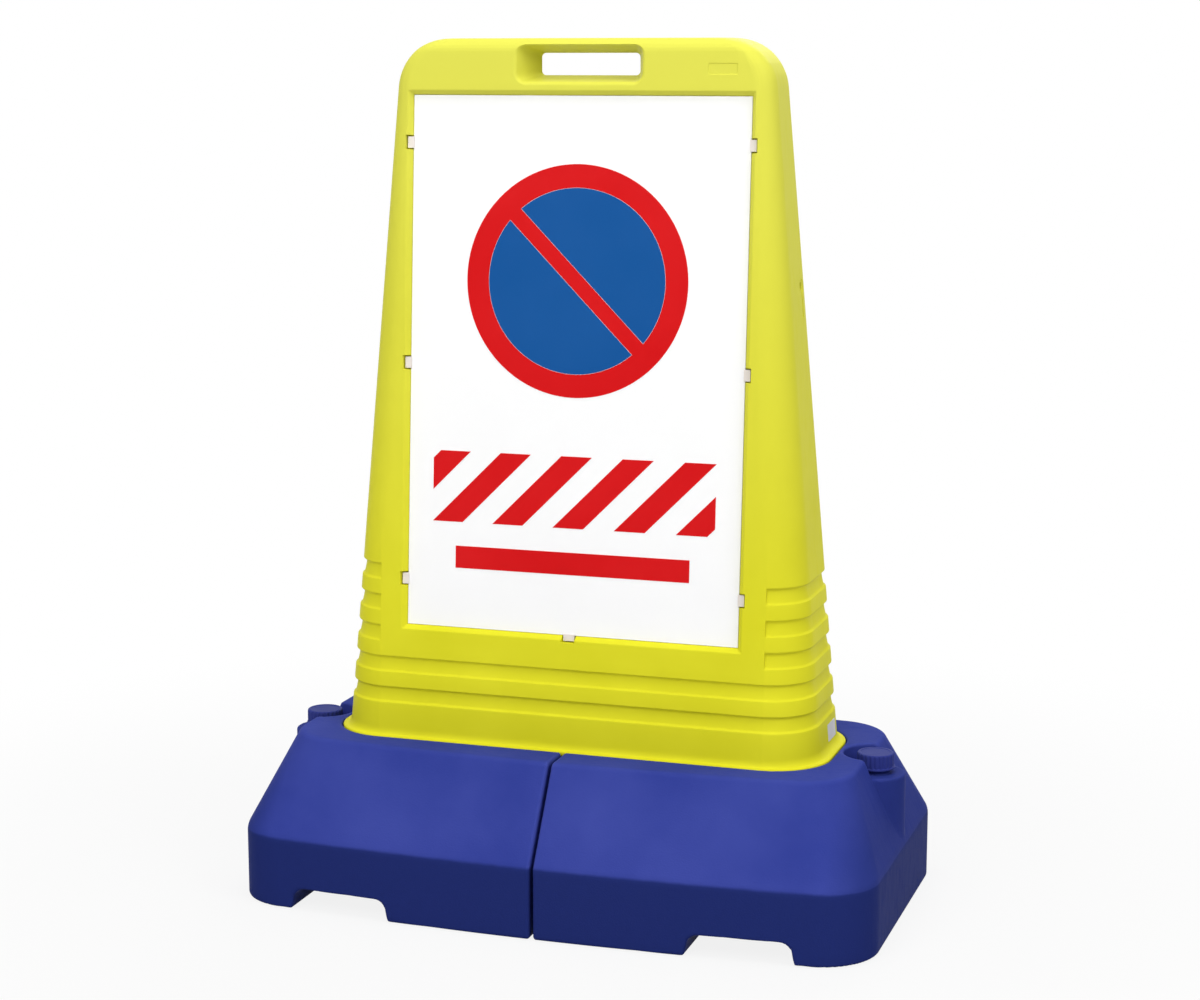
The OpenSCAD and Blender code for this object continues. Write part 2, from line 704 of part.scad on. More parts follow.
module right_gasket() {
    color(rubber) translate([cap_x, cap_shift, gasket_z]) difference() {
        cylinder(d = neck_d, h = gasket_t, $fn = round_fn);
        translate([0, 0, -over]) cylinder(d = gasket_bore_d, h = gasket_t + 2 * over, $fn = round_fn);
    }
}

tower();
plate();  // front_plate
turned() plate();  // back_plate
ring_film();  // front_ring_film
disc_film();  // front_disc_film
stripe_film();  // front_stripe_film
bar_film();  // front_bar_film
turned() ring_film();  // back_ring_film
turned() disc_film();  // back_disc_film
turned() stripe_film();  // back_stripe_film
turned() bar_film();  // back_bar_film
side_clips();  // front_side_clips
foot_clip();  // front_foot_clip
turned() side_clips();  // back_side_clips
turned() foot_clip();  // back_foot_clip
side_label();
turned() right_tank();  // left_tank
right_tank();
turned() right_cap();  // left_cap
right_cap();
turned() right_gasket();  // left_gasket
right_gasket();
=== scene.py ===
"""Freestanding sign: a moulded tower with a plate on each face, in a two-part water-tank base.

Lengths are in millimetres until a mesh is made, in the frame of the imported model: x to the right, y to the
back, z up from the floor. Materials, lamps and the camera are given in metres.
"""
import math

import bmesh
import bpy
import numpy as np
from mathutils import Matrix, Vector


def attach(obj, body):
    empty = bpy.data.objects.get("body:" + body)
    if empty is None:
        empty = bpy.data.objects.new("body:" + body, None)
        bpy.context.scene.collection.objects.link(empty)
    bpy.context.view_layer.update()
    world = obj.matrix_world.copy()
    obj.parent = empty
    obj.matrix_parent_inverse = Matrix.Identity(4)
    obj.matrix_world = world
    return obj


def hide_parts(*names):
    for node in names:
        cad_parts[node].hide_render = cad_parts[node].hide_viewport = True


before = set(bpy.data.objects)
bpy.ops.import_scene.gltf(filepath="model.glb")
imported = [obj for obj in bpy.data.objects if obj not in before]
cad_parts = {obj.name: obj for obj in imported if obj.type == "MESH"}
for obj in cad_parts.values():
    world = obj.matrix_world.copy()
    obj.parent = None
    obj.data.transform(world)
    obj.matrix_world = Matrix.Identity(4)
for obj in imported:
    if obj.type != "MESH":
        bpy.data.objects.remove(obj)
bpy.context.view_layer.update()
MM = 0.001

# ---------------------------------------------------------------- sizes shared with the solids
TOWER_H, LIP_TOP, LIP_Z, FOOT_Z = 1000.0, 188.8, 182.3, 122.3
CORNER_R, EDGE_R = 54.0, 15.0                 # round corners and round edges of the tower's top
TOP_HALF = np.array([221.0, 42.0, 20.0])      # half width, half depth and edge radius at the top
FOOT_HALF = np.array([290.0, 96.5, 60.0])     # the same at the top of the lip
LIP = (300.0, 104.0, 68.0)                    # half width, half depth and corner radius
FOOT = (282.0, 88.5, 50.0)
RAIL_Z, RAIL_Y = (144.3, 160.3), 81.5         # the slide groove on each side of the foot
FACE_LEAN, END_LEAN = (math.atan((FOOT_HALF[i] - TOP_HALF[i]) / (TOWER_H - LIP_TOP)) for i in (1, 0))
PLATE_Z, PLATE_HALF, PLATE_H, PLATE_GAP = 321.8, 201.0, 616.0, 0.4
SETBACK, RECESS = 6.5, 9.9                    # depth at the inner edge of the window's bevel, and inside it
BEVEL, BEVEL_ROUND = 5.0, 0.9                 # width of that bevel, and half the width of its rounded edge
GROOVE_Z = [LIP_TOP + 38.5 + 36.5 * i for i in range(5)]
GROOVE_H, GROOVE_DEPTH, SHORT_END = 18.5, 4.0, 234.0
FULL_GROOVES = 2                              # the lowest ones run across the front, the others are short
# Height up a groove and depth there, as shares: a narrow lit ledge below, a deep soft shoulder above
GROOVE_SHAPE = ((-0.05, 0.0), (-0.01, 0.08), (0.03, 0.36), (0.08, 0.58), (0.13, 0.66),
                (0.28, 0.77), (0.45, 0.88), (0.62, 0.97), (0.74, 1.0), (0.82, 0.96),
                (0.88, 0.84), (0.93, 0.58), (0.97, 0.28), (1.01, 0.07), (1.05, 0.0))
CLIP_V = (54.0, 308.0, 562.0)                 # heights of the side clips up the plate
CLIP_HALF, CLIP_LAP = 8.0, 4.0                # half height of a clip's notch, and its reach under the plate
BADGE = (151.5, 184.5, 960.0, 972.0)          # limits in x and in z of the sunk badge
BADGE_DEPTH = 0.8
DECK_Z, CREASE_Z = 188.0, 83.0
CAP_X, CAP_Y, CAP_FOOT, CAP_TOP, NECK_TOP, POCKET_Z = 343.0, 9.0, 170.5, 188.5, 183.7, 166.0
BASE = (381.0, 218.0, 68.0)                   # half width, half depth and corner radius at the floor
DECK = (338.0, 151.0, 62.0)                   # the same at the deck


def tower_at(z):
    """Half width, half depth and edge radius of the tower at the heights z."""
    t = (np.asarray(z, float)[..., None] - LIP_TOP) / (TOWER_H - LIP_TOP)
    return FOOT_HALF + (TOP_HALF - FOOT_HALF) * t


def smooth(t):
    """An even ramp from 0 to 1, level at both ends."""
    t = np.clip(t, 0.0, 1.0)
    return t * t * (3 - 2 * t)


# ---------------------------------------------------------------- mesh helpers
def mesh_piece(name, verts, faces, body, material, smooth_angle=35.0):
    """A smooth-shaded mesh object on a body, sharp only where its faces meet steeply."""
    mesh = bpy.data.meshes.new(name)
    mesh.from_pydata([tuple(v) for v in np.asarray(verts, float) * MM], [], faces)
    mesh.validate()
    obj = bpy.data.objects.new(name, mesh)
    bpy.context.scene.collection.objects.link(obj)
    finish_mesh(obj, smooth_angle)
    mesh.materials.append(material)
    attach(obj, body)
    return obj


def finish_mesh(obj, smooth_angle):
    """Welds the mesh, turns its faces outwards and marks the edges steeper than the angle as sharp."""
    bm = bmesh.new()
    bm.from_mesh(obj.data)
    bmesh.ops.remove_doubles(bm, verts=bm.verts, dist=1e-6)
    bmesh.ops.dissolve_degenerate(bm, edges=bm.edges, dist=1e-6)
    bmesh.ops.recalc_face_normals(bm, faces=bm.faces)
    for f in bm.faces:
        f.smooth = True
    limit = math.radians(smooth_angle)
    for e in bm.edges:
        if len(e.link_faces) == 2 and e.calc_face_angle(0.0) > limit:
            e.smooth = False
    bm.to_mesh(obj.data)
    bm.free()


def weighted(obj):
    """Lets the large faces set the shading at a rounded edge."""
    mod = obj.modifiers.new("weighted", "WEIGHTED_NORMAL")
    mod.keep_sharp = True
    mod.weight = 80


def ring_faces(rows, cols, joined=False):
    """Quads between closed rings of equal point counts, and a face over each end, or, joined, quads from
    the last ring to the first."""
    faces = []
    for r in range(rows if joined else rows - 1):
        s = (r + 1) % rows
        for c in range(cols):
            d = (c + 1) % cols
            faces.append((r * cols + c, r * cols + d, s * cols + d, s * cols + c))
    if not joined:
        faces.append(tuple(range(cols - 1, -1, -1)))
        faces.append(tuple((rows - 1) * cols + c for c in range(cols)))
    return faces


def round_box(x, y, hx, hy, r):
    """Signed distance to a rounded rectangle."""
    qx, qy = np.abs(x) - (hx - r), np.abs(y) - (hy - r)
    return np.hypot(np.maximum(qx, 0), np.maximum(qy, 0)) + np.minimum(np.maximum(qx, qy), 0) - r


def round_rect(hx, hy, r, n=8):
    """Points of a rounded rectangle, counterclockwise from the right end of its lower side."""
    pts = []
    corners = ((hx - r, r - hy, 270), (hx - r, hy - r, 0), (r - hx, hy - r, 90), (r - hx, r - hy, 180))
    for cx, cy, a0 in corners:
        for i in range(n + 1):
            a = math.radians(a0 + 90 * i / n)
            pts.append((cx + r * math.cos(a), cy + r * math.sin(a)))
    return np.array(pts)


def cut(obj, verts, faces):
    """Takes a closed mesh, given in millimetres, out of the object."""
    mesh = bpy.data.meshes.new("cutter")
    mesh.from_pydata([tuple(v) for v in np.asarray(verts, float) * MM], [], faces)
    bm = bmesh.new()
    bm.from_mesh(mesh)
    bmesh.ops.recalc_face_normals(bm, faces=bm.faces)
    bm.to_mesh(mesh)
    bm.free()
    tool = bpy.data.objects.new("cutter", mesh)
    bpy.context.scene.collection.objects.link(tool)
    mod = obj.modifiers.new("cut", "BOOLEAN")
    mod.operation, mod.solver, mod.object = "DIFFERENCE", "EXACT", tool
    bpy.context.view_layer.update()
    dg = bpy.context.evaluated_depsgraph_get()
    result = bpy.data.meshes.new_from_object(obj.evaluated_get(dg))
    obj.modifiers.remove(mod)
    old = obj.data
    obj.data = result
    bpy.data.meshes.remove(old)
    bpy.data.objects.remove(tool)
    bpy.data.meshes.remove(mesh)


# ---------------------------------------------------------------- materials
RAISED = (0.51, 0.57)             # pointiness where an edge starts to pale, and where it is fully pale, partly from use and partly as painted highlight
HOLLOW = (0.43, 0.49)             # pointiness where the painted shade of a hollow is full, and where it ends
SCUFFED = 0.16                    # how much rougher the scuffs are
END_SHADE = (0.330, 0.368, 0.6)    # painted shade on the ends: distances out where it starts and is full, and its share
RAGGED = 0.003                    # how far the upper edge of the painted low shade wanders


def math_node(nodes, links, operation, *values):
    """The output of a math node; each value is a number or another node's output."""
    node = nodes.new("ShaderNodeMath")
    node.operation = operation
    for value, socket in zip(values, node.inputs):
        if isinstance(value, float):
            socket.default_value = value
        else:
            links.new(value, socket)
    return node.outputs[0]


def moulded(name, color, roughness, grain, grain_scale, mottle, edge_wear_and_highlight, low_and_end_shade=None, specular=0.12, hollow_shade=0.0,
            painted_top_sheen=None):
    """Moulded polyethylene: fine grain, faint mottling, scuffs that dull it, edges paled partly by use and
    partly by painted highlight, and painted shade in hollows.

    The painted shade below a height and on the ends takes a height and a tint, the painted sheen towards the
    top two heights and a tint.
    """
    mat = bpy.data.materials.new(name)
    mat.use_nodes = True
    nodes, links = mat.node_tree.nodes, mat.node_tree.links
    bsdf = nodes["Principled BSDF"]
    bsdf.inputs["Specular IOR Level"].default_value = specular
    coord = nodes.new("ShaderNodeTexCoord")

    def noise(scale, detail, stretch=None):
        node = nodes.new("ShaderNodeTexNoise")
        node.inputs["Scale"].default_value = scale
        node.inputs["Detail"].default_value = detail
        if stretch:
            mapping = nodes.new("ShaderNodeMapping")
            mapping.inputs["Scale"].default_value = stretch
            mapping.inputs["Rotation"].default_value = (0.3, 0.5, 0.2)
            links.new(coord.outputs["Object"], mapping.inputs["Vector"])
            links.new(mapping.outputs["Vector"], node.inputs["Vector"])
        else:
            links.new(coord.outputs["Object"], node.inputs["Vector"])
        return node.outputs["Fac"]

    def ramp(value, low, high, to_low, to_high):
        node = nodes.new("ShaderNodeMapRange")
        for key, v in (("From Min", low), ("From Max", high), ("To Min", to_low), ("To Max", to_high)):
            node.inputs[key].default_value = v
        links.new(value, node.inputs["Value"])
        return node.outputs["Result"]

    def mix(a, b, factor):
        node = nodes.new("ShaderNodeMix")
        node.data_type = "RGBA"
        for value, socket in ((a, node.inputs[6]), (b, node.inputs[7])):
            if isinstance(value, tuple):
                socket.default_value = (*value, 1.0)
            else:
                links.new(value, socket)
        links.new(factor, node.inputs[0])
        return node.outputs[2]

    def relief(height, strength, distance):
        node = nodes.new("ShaderNodeBump")
        node.inputs["Strength"].default_value = strength
        node.inputs["Distance"].default_value = distance
        links.new(height, node.inputs["Height"])
        return node

    dark = tuple(c * (1 - 2.2 * mottle) for c in color)
    light = tuple(min(1.0, c * (1 + mottle) + 0.25 * mottle) for c in color)
    worn_and_highlit = tuple(1.5 * c + 0.05 for c in color)
    shaded_hollow_tint = tuple(0.35 * c for c in color)
    shade = mix(dark, light, ramp(noise(7.0, 4.0), 0.3, 0.7, 0.0, 1.0))
    pointiness = nodes.new("ShaderNodeNewGeometry").outputs["Pointiness"]
    # paler edges, partly from use and partly painted highlight
    shade = mix(shade, worn_and_highlit, ramp(pointiness, *RAISED, 0.0, edge_wear_and_highlight))
    # painted shade: darker in the hollows
    if hollow_shade:
        shade = mix(shade, shaded_hollow_tint, ramp(pointiness, *HOLLOW, hollow_shade, 0.0))
    split = nodes.new("ShaderNodeSeparateXYZ")
    links.new(coord.outputs["Object"], split.inputs[0])
    if painted_top_sheen:
        # painted sheen: paler towards the top, where the overhead light falls most
        low, high, tint = painted_top_sheen
        shade = mix(shade, tint, ramp(split.outputs["Z"], low, high, 0.0, 1.0))
    if low_and_end_shade:
        # painted shade: darker on the faces below a height and, less, on the ends
        height, tint = low_and_end_shade
        edge = math_node(nodes, links, "MULTIPLY_ADD", noise(30.0, 4.0), RAGGED, split.outputs["Z"])
        low_shade = ramp(edge, height - 0.0005, height + 0.003, 1.0, 0.0)
        start, full, share = END_SHADE
        across = math_node(nodes, links, "ABSOLUTE", split.outputs["X"])
        ends = ramp(across, start, full, 0.0, share)
        shade = mix(shade, tint, math_node(nodes, links, "MAXIMUM", low_shade, ends))
    links.new(shade, bsdf.inputs["Base Color"])
    scuffs = ramp(noise(60.0, 6.0, (1.0, 5.0, 0.5)), 0.5, 0.75, roughness, roughness + SCUFFED)
    links.new(scuffs, bsdf.inputs["Roughness"])
    wave = relief(noise(11.0, 1.0), 0.25, 0.0012)
    bump = relief(noise(grain_scale, 2.0), grain, 0.0006)
    links.new(wave.outputs["Normal"], bump.inputs["Normal"])
    links.new(bump.outputs["Normal"], bsdf.inputs["Normal"])
    return mat


# Each row: name, colour, roughness, strength and fineness of the grain, mottling, paleness of the edges
# (partly from use, partly painted highlight)
# the yellow gets a painted sheen towards the top
yellow = moulded("yellow_polyethylene", (0.72, 0.69, 0.020), 0.40, 0.10, 700.0, 0.025, 0.0,
                 specular=0.025, painted_top_sheen=(0.35, 1.0, (0.71, 0.70, 0.09)))
# the blue gets painted shade below the crease, on the ends and in its hollows, and painted highlights on its
# edges
blue = moulded("blue_polyethylene", (0.030, 0.047, 0.285), 0.46, 0.30, 520.0, 0.05, 0.35,
               low_and_end_shade=(CREASE_Z * MM, (0.016, 0.027, 0.150)), specular=0.006, hollow_shade=0.5)
cap_blue = moulded("cap_blue", (0.026, 0.037, 0.22), 0.38, 0.12, 900.0, 0.04, 0.08, specular=0.02)
white_sheet = moulded("white_sheet", (0.97, 0.97, 0.97), 0.30, 0.04, 400.0, 0.006, 0.0)
red_film = moulded("red_film", (0.66, 0.003, 0.005), 0.30, 0.04, 500.0, 0.02, 0.0)
blue_film = moulded("blue_film", (0.002, 0.084, 0.31), 0.30, 0.04, 500.0, 0.02, 0.0)
clip_white = moulded("clip_nylon", (0.78, 0.72, 0.68), 0.35, 0.10, 900.0, 0.04, 0.05)
label_paper = moulded("label_paper", (0.80, 0.80, 0.83), 0.6, 0.1, 900.0, 0.10, 0.0)
rubber = moulded("seal_rubber", (0.012, 0.012, 0.013), 0.65, 0.2, 900.0, 0.1, 0.1)


# ---------------------------------------------------------------- tower
# Heights of rows at the window's lower and upper edges, from the plate's edges
LOWER_V = (-8.3, -7.7, -6.2, -5.6, -5.0, -3.0, -1.2, -0.6, -0.2, 0.6)
UPPER_V = (-0.6, 0.2, 0.6, 1.2, 3.0, 5.0, 5.6, 6.2)
ROW_MIN, ROW_MAX = 0.25, 14       # least and greatest distance between rows
SWEEP_H = 9.0                     # height of the sweep from the lip into the body


def tower_rows():
    """Heights of the body's rings above the sweep, closer together wherever its section changes."""
    upright = math.cos(FACE_LEAN)
    rows = {PLATE_Z + v * upright for v in LOWER_V}
    rows.update(PLATE_Z + (PLATE_H + v) * upright for v in UPPER_V)
    for v in CLIP_V:
        rows.update(PLATE_Z + (v + s * CLIP_HALF + d) * upright for s in (-1, 1) for d in (-0.3, 0.3))
    for z in GROOVE_Z:
        rows.update(z + GROOVE_H * t for t, _ in GROOVE_SHAPE)
    rows.update(z + d for z in BADGE[2:] for d in (-0.4, 0.4))
    rows.update(TOWER_H - CORNER_R * (1 - math.sin(math.radians(a))) for a in range(0, 91, 6))
    rows.update(TOWER_H - EDGE_R * (1 - math.sin(math.radians(a))) for a in range(0, 91, 15))
    rows = sorted(rows)
    filled = [rows[0]]
    for z in rows[1:]:
        gap = z - filled[-1]
        if gap < ROW_MIN:
            continue
        n = int(gap // ROW_MAX) + 1
        filled += [filled[-1] + gap * i / n for i in range(1, n + 1)]
    return [LIP_TOP + SWEEP_H * i for i in (2, 3, 4)] + filled


# Distances of the front's points from its middle, and up to which of them the spacing is even
FIXED_X = np.array([0, 7.7, 8.3, 26, 48, 72, 98, 124, 140, 151.1, 151.9, 168, 184.1, 184.9, 193, 200.7,
                    201.2, 201.6, 202.2, 204, 205.8, 206.6, 207.4, 208.7, 209.3, 212.5])
EVEN_X = 185.4
END_WALL = np.array([-0.9, -0.5, -0.2, 0.2, 0.5, 1.4])      # along the skin from a short groove's end
ARC_STEPS, SIDE_STEPS = 12, 4
BLEND_Z, BLEND_H = 400.0, 110.0   # where the corner's points go over from the grooves' spacing to an even one


def groove_depth(z):
    """Depth of the grooves at height z, and whether it is one of the short ones."""
    for i, z0 in enumerate(GROOVE_Z):
        t = (z - z0) / GROOVE_H
        if GROOVE_SHAPE[0][0] < t < GROOVE_SHAPE[-1][0]:
            return GROOVE_DEPTH * float(np.interp(t, *zip(*GROOVE_SHAPE))), i >= FULL_GROOVES
    return 0.0, False


def quadrant(z, badge):
    """Points (x, y, z) of the tower's skin over a quarter ring at height z, from the middle of the
    front to the middle of the right side, with their outward normals in plan."""
    w, d, r = tower_at(z)
    shrink = [r_top - math.sqrt(max(r_top ** 2 - min(max(z - TOWER_H + r_top, 0), r_top) ** 2, 0))
              for r_top in (CORNER_R, EDGE_R)]
    w, d = w - shrink[0], d - shrink[1]
    depth, short = groove_depth(z)
    x_lim = min(FIXED_X[-1], w - 0.55 * r)
    a = min(EVEN_X, x_lim - 8)
    x = np.where(FIXED_X <= EVEN_X, FIXED_X * a / EVEN_X,
                 a + (FIXED_X - EVEN_X) / (FIXED_X[-1] - EVEN_X) * (x_lim - a))
    # lengths along the skin from the start of the corner's arc
    start = x[-1] - (w - r) if x[-1] < w - r else r * math.asin((x[-1] - (w - r)) / r)
    end = r * math.pi / 2
    over = SHORT_END - (w - r)
    wall = r * math.asin(min(over / r, 0.9)) if over > 0 else over
    lead_in = x[-1] - (w - r) + (wall + END_WALL[0] - x[-1] + (w - r)) * np.array([1, 2]) / 3
    beyond = wall + END_WALL[-1]
    low_strip = np.concatenate([
        lead_in, wall + END_WALL, beyond + (end - beyond) * np.arange(1, ARC_STEPS + 1) / ARC_STEPS])
    n = len(low_strip)
    high = start + (end - start) * np.arange(1, n + 1) / n
    blend = smooth((z - BLEND_Z) / BLEND_H)
    arc = low_strip * (1 - blend) + high * blend
    # front: v is the height up the plate, e the distance outwards from the window's edge, t the depth there
    sag = np.where(x > w - r, r - np.sqrt(np.maximum(r * r - np.maximum(x - (w - r), 0) ** 2, 0)), 0)
    v = (z - PLATE_Z) / math.cos(FACE_LEAN)
    e = np.maximum(x - (PLATE_HALF + PLATE_GAP), max(-PLATE_GAP - v, v - PLATE_H - PLATE_GAP))
    t = np.clip(SETBACK * (1 - e / BEVEL), 0, SETBACK)
    rounded = SETBACK / BEVEL * (BEVEL + BEVEL_ROUND - e) ** 2 / (4 * BEVEL_ROUND)
    t = np.where((e > BEVEL - BEVEL_ROUND) & (e < BEVEL + BEVEL_ROUND), rounded, t)
    t = np.where(e < 0, RECESS, t)
    for clip_v in CLIP_V:
        if abs(v - clip_v) < CLIP_HALF:
            t = np.where((x > PLATE_HALF - CLIP_LAP) & (x < PLATE_HALF + CLIP_HALF), RECESS, t)
    if -CLIP_HALF < v < CLIP_LAP:
        t = np.where(x < CLIP_HALF, RECESS, t)
    if badge and BADGE[2] < z < BADGE[3]:
        t = np.maximum(t, np.where((x > BADGE[0]) & (x < BADGE[1]), BADGE_DEPTH, 0))
    base = sag + (0.0 if short else depth)
    drop = np.maximum(t * math.cos(FACE_LEAN) - base, 0)
    front = np.stack([x, -d + base + drop, z - drop * math.tan(FACE_LEAN)], 1)
    n_front = np.stack([np.zeros_like(x), -np.ones_like(x)], 1)
    # strip and corner
    ang = np.clip(arc / r, 0, math.pi / 2)
    c = depth * (smooth(arc - wall + 0.5) if short else 1.0) * np.ones_like(arc)
    nx, ny = np.sin(ang), -np.cos(ang)
    px = np.where(arc < 0, w - r + arc, w - r + (r - c) * nx)
    py = -(d - r) + (r - c) * ny
    strip = np.stack([px, py, np.full_like(px, z)], 1)
    n_strip = np.stack([nx, ny], 1)
    # side, up to but not with the middle
    side_y = -(d - r) * (1 - np.arange(1, SIDE_STEPS + 1) / SIDE_STEPS)
    side = np.stack([np.full(SIDE_STEPS, w - depth), side_y, np.full(SIDE_STEPS, z)], 1)
    n_side = np.tile([1.0, 0.0], (SIDE_STEPS, 1))
    return np.concatenate([front, strip, side]), np.concatenate([n_front, n_strip, n_side])


def full_ring(q_plain, q_badge):
    """A whole ring from quarter rings, counterclockwise from the middle of the front."""
    flip_x, flip_y = np.array([-1, 1, 1]), np.array([1, -1, 1])
    back_right = (q_plain * flip_y)[::-1]
    return np.concatenate([
        q_badge,
        back_right[1:],
        (q_badge * flip_x * flip_y)[1:],
        (q_plain * flip_x)[::-1][1:-1]])


def build_tower():
    """The tower's shell as a stack of rings, with the hand slot and the side hole cut out of it."""
    rings = []
    ring, normals = quadrant(LIP_TOP, False)
    base = ring[:, :2]

    def reach(outline, sign, farthest=60.0, halvings=40):
        """How far each base point moves along its normal, out or in, to meet the outline."""
        lo, hi = np.zeros(len(base)), np.full(len(base), farthest)
        for _ in range(halvings):
            mid = (lo + hi) / 2
            p = base + normals * (sign * mid)[:, None]
            inside = round_box(p[:, 0], p[:, 1], *outline) < 0
            grow = inside if sign > 0 else ~inside
            lo, hi = np.where(grow, mid, lo), np.where(grow, hi, mid)
        return lo

    out, inward = reach(LIP, 1), reach(FOOT, -1)

    def add_ring(p, z):
        q = np.concatenate([p, np.full((len(p), 1), z)], 1)
        rings.append(full_ring(q, q))

    def ring_at(offset, z, clamp=None):
        p = base + normals * offset[:, None]
        if clamp:
            p[:, 1] = np.maximum(p[:, 1], -clamp)
        add_ring(p, z)

    # foot, from the bottom up
    ring_at(-inward - 5, FOOT_Z)
    ring_at(-inward - 1.5, FOOT_Z + 1.0)
    ring_at(-inward, FOOT_Z + 4)
    for z, clamp in ((RAIL_Z[0] - 0.5, None), (RAIL_Z[0] + 0.5, RAIL_Y), (RAIL_Z[1] - 0.5, RAIL_Y),
                     (RAIL_Z[1] + 0.5, None), (LIP_Z - 1.5, None), (LIP_Z, None)):
        ring_at(-inward, z, clamp)
    # lip: underside, rounded rim, top and the sweep into the body
    rim = 2.4
    ring_at(out - 3.0, LIP_Z)
    ring_at(out - 0.8, LIP_Z + 0.5)
    ring_at(out, LIP_Z + 2.0)
    for a in range(0, 91, 18):
        s, c = math.sin(math.radians(a)), math.cos(math.radians(a))
        ring_at(out - rim + rim * c, LIP_TOP - rim + rim * s)
    sweep = np.minimum((out - rim) * 0.8, SWEEP_H)
    for a in range(0, 91, 15):
        s, c = math.sin(math.radians(a)), math.cos(math.radians(a))
        p = base + normals * (sweep * (1 - s))[:, None]
        z = LIP_TOP + SWEEP_H * (1 - c)
        lean = tower_at(LIP_TOP)[0] - tower_at(z)[0]
        add_ring(p * (1 - smooth(a / 90) * lean / FOOT_HALF[0]), z)
    # body and top
    for z in tower_rows():
        rings.append(full_ring(quadrant(z, False)[0], quadrant(z, True)[0]))
    top = rings[-1].copy()
    for axis in (0, 1):
        top[:, axis] *= 1 - 3.0 / np.abs(top[:, axis]).max()
    rings.append(top)
    obj = mesh_piece("tower_shell", np.concatenate(rings), ring_faces(len(rings), len(top)), "tower",
                     yellow)
    cut_hand_slot(obj)
    cut_side_hole(obj)
    finish_mesh(obj, 32)
    weighted(obj)
    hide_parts("tower")


SLOT_Z, SLOT_FILLET, SLOT_RISE = TOWER_H - 29.0, 4.5, 1.0     # the mouths sit a little higher than the middle
SLOT_MID = (59.0, 12.5, 5.0)                                  # half width, half height and corner radius
SLOT_MOUTH = (74.0, 20.5, 10.0)


def cut_hand_slot(obj):
    """The hand slot: narrow in the middle, widening to a rounded mouth on each leaning face."""
    face_y = float(tower_at(SLOT_Z)[1])
    tan = math.tan(FACE_LEAN)
    rings = []

    def add_ring(half, y, lean, z):
        p = round_rect(*half)
        rings.append(np.stack([p[:, 0], y + p[:, 1] * lean, z + p[:, 1]], 1))

    for t in (0.0, 0.06, 0.5, 0.9):
        half = [a + (b - a) * t for a, b in zip(SLOT_MID, SLOT_MOUTH)]
        add_ring(half, -(face_y - SLOT_FILLET) * t, tan * t, SLOT_Z + SLOT_RISE * t)
    for a in range(0, 76, 15):
        e, s = (SLOT_FILLET * (1 - f(math.radians(a))) for f in (math.cos, math.sin))
        add_ring([m + e for m in SLOT_MOUTH], -face_y + s, tan, SLOT_Z + SLOT_RISE)
    add_ring([m + 26 for m in SLOT_MOUTH], -face_y - 6.0, tan, SLOT_Z + SLOT_RISE)
    rings = [r * np.array([1, -1, 1]) for r in rings[:0:-1]] + rings
    cut(obj, np.concatenate(rings), ring_faces(len(rings), len(rings[0])))


HOLE_Y, HOLE_Z, HOLE_R, HOLE_SEAT_R = 20.0, 723.0, 4.5, 8.2
HOLE_CHANNEL = (1.6, 15.0, 1.2)                               # half width, half height and corner radius
HOLE_CHANNEL_AT = np.array([0.5, 21.0])                       # its middle, across and down from the hole


def cut_side_hole(obj):
    """The hole in the right side, its shallow seat and the channel below it."""
    out = np.array([math.cos(END_LEAN), 0, math.sin(END_LEAN)])
    down = np.array([math.sin(END_LEAN), 0, -math.cos(END_LEAN)])
    across = np.array([0, 1.0, 0])
    centre = np.array([float(tower_at(HOLE_Z)[0]), HOLE_Y, HOLE_Z])

    def cut_prism(outline, depths, grows):
        """Cuts the outline out, from the first depth outwards, grown about its middle at each depth."""
        rings = []
        for depth, grow in zip(depths, grows):
            c = outline.mean(0)
            p = c + (outline - c) * grow
            rings.append(centre + p[:, :1] * across + p[:, 1:] * down + depth * out)
        cut(obj, np.concatenate(rings), ring_faces(len(rings), len(outline)))

    angle = np.linspace(0, 2 * math.pi, 32, endpoint=False)
    circle = np.stack([np.cos(angle), np.sin(angle)], 1)
    channel = round_rect(*HOLE_CHANNEL) + HOLE_CHANNEL_AT
    cut_prism(circle * HOLE_SEAT_R, (-1.0, -0.75, 0.3, 3.0), (0.93, 0.985, 1.04, 1.16))
    cut_prism(channel, (-1.0, -0.7, 0.3, 3.0), (0.96, 0.99, 1.02, 1.1))
    cut_prism(circle * HOLE_R, (-20.0, -1.6, -0.7, 3.0), (1.0, 1.0, 1.16, 1.16))


# ---------------------------------------------------------------- tanks, skinned from a distance field
BOW = 13.0                                           # how far the tanks' long sides bow outwards
SPLIT_X = 2.0                                        # half the gap between the two tanks
END_X, END_Y, END_BLEND = 240.0, 60.0, 110.0         # where the long side's slope goes over into the end's
BOSS_R, POCKET_R, BORE_R = 35.0, 37.0, 13.0          # about the cap's axis
BOSS_FOOT, BORE_FOOT = 60.0, 120.0
SEAT_GAP, LIP_SEAT_Z, FOOT_SEAT_Z = 1.2, 182.0, 122.0
RIDGE_X, RIDGE_Y, RIDGE_Z, RIDGE_HALF = (6.0, 232.0), (83.0, 93.0), 152.3, 7.7
CHANNEL_X, CHANNEL_HALF, CHANNEL_FLARE, CHANNEL_TOP = 239.0, 57.0, 5.0, 25.0
# Radii of the edges and fillets
CREASE_R, DECK_R, BOTTOM_R, SPLIT_R = 2.6, 4.0, 2.5, 3.5
BOSS_RIM_R, BOSS_FOOT_R, BOSS_SIDE_R, POCKET_FLOOR_R, POCKET_RIM_R = 2.5, 1.0, 2.0, 1.5, 2.5
LIP_SEAT_R, FOOT_SEAT_R, RIDGE_R, CHANNEL_ROOF_R, CHANNEL_RIM_R = 2.2, 2.5, 3.0, 11.0, 2.2


